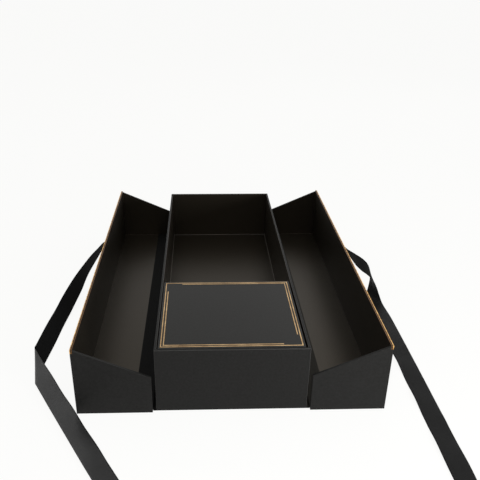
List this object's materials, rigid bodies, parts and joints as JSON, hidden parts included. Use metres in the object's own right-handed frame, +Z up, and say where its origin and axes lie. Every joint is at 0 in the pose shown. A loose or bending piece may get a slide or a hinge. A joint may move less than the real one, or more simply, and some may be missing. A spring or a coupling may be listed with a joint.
{
  "type": "magnetic gift box",
  "caption": "Long rigid gift box: an open tray with a small lidded inner box, magnetic side doors that fold up over it, foil lines and tie ribbons.",
  "frame": {"origin": "on the table, under the middle of the tray", "axes": "+X to the right door, +Y along the tray to its rear end, +Z up"},
  "size_m": [0.4274, 0.5739, 0.0761],
  "materials": {
    "black_paper": "matte black wrapping paper over board",
    "lining_paper": "matte black lining paper",
    "gold_foil": "hot-stamped gold foil",
    "ribbon": "black ribbed ribbon with a soft sheen",
    "plated_metal": "plated"
  },
  "bodies": {
    "box": {"base_sheet": "black_paper", "tray": "black_paper", "inner_box": "black_paper", "inner_lid": "black_paper", "inner_lid_foil": "gold_foil", "tray_left_front_disc": "plated_metal", "tray_left_rear_disc": "plated_metal", "tray_right_front_disc": "plated_metal", "tray_right_rear_disc": "plated_metal"},
    "left_door": {"left_door": "black_paper", "left_hinge_lining": "lining_paper", "left_rim_foil": "gold_foil", "left_ribbon": "ribbon", "left_front_magnet": "plated_metal", "left_rear_magnet": "plated_metal"},
    "right_door": {"right_door": "black_paper", "right_hinge_lining": "lining_paper", "right_rim_foil": "gold_foil", "right_ribbon": "ribbon", "right_front_magnet": "plated_metal", "right_rear_magnet": "plated_metal"}
  },
  "joints": [
    {"name": "left_door_hinge", "type": "hinge", "parent": "box", "child": "left_door", "pos_m": [-0.078, 0, 0], "axis": [0, 1, 0], "range_deg": [0, 90]},
    {"name": "right_door_hinge", "type": "hinge", "parent": "box", "child": "right_door", "pos_m": [0.078, 0, 0], "axis": [0, -1, 0], "range_deg": [0, 90]}
  ]
}
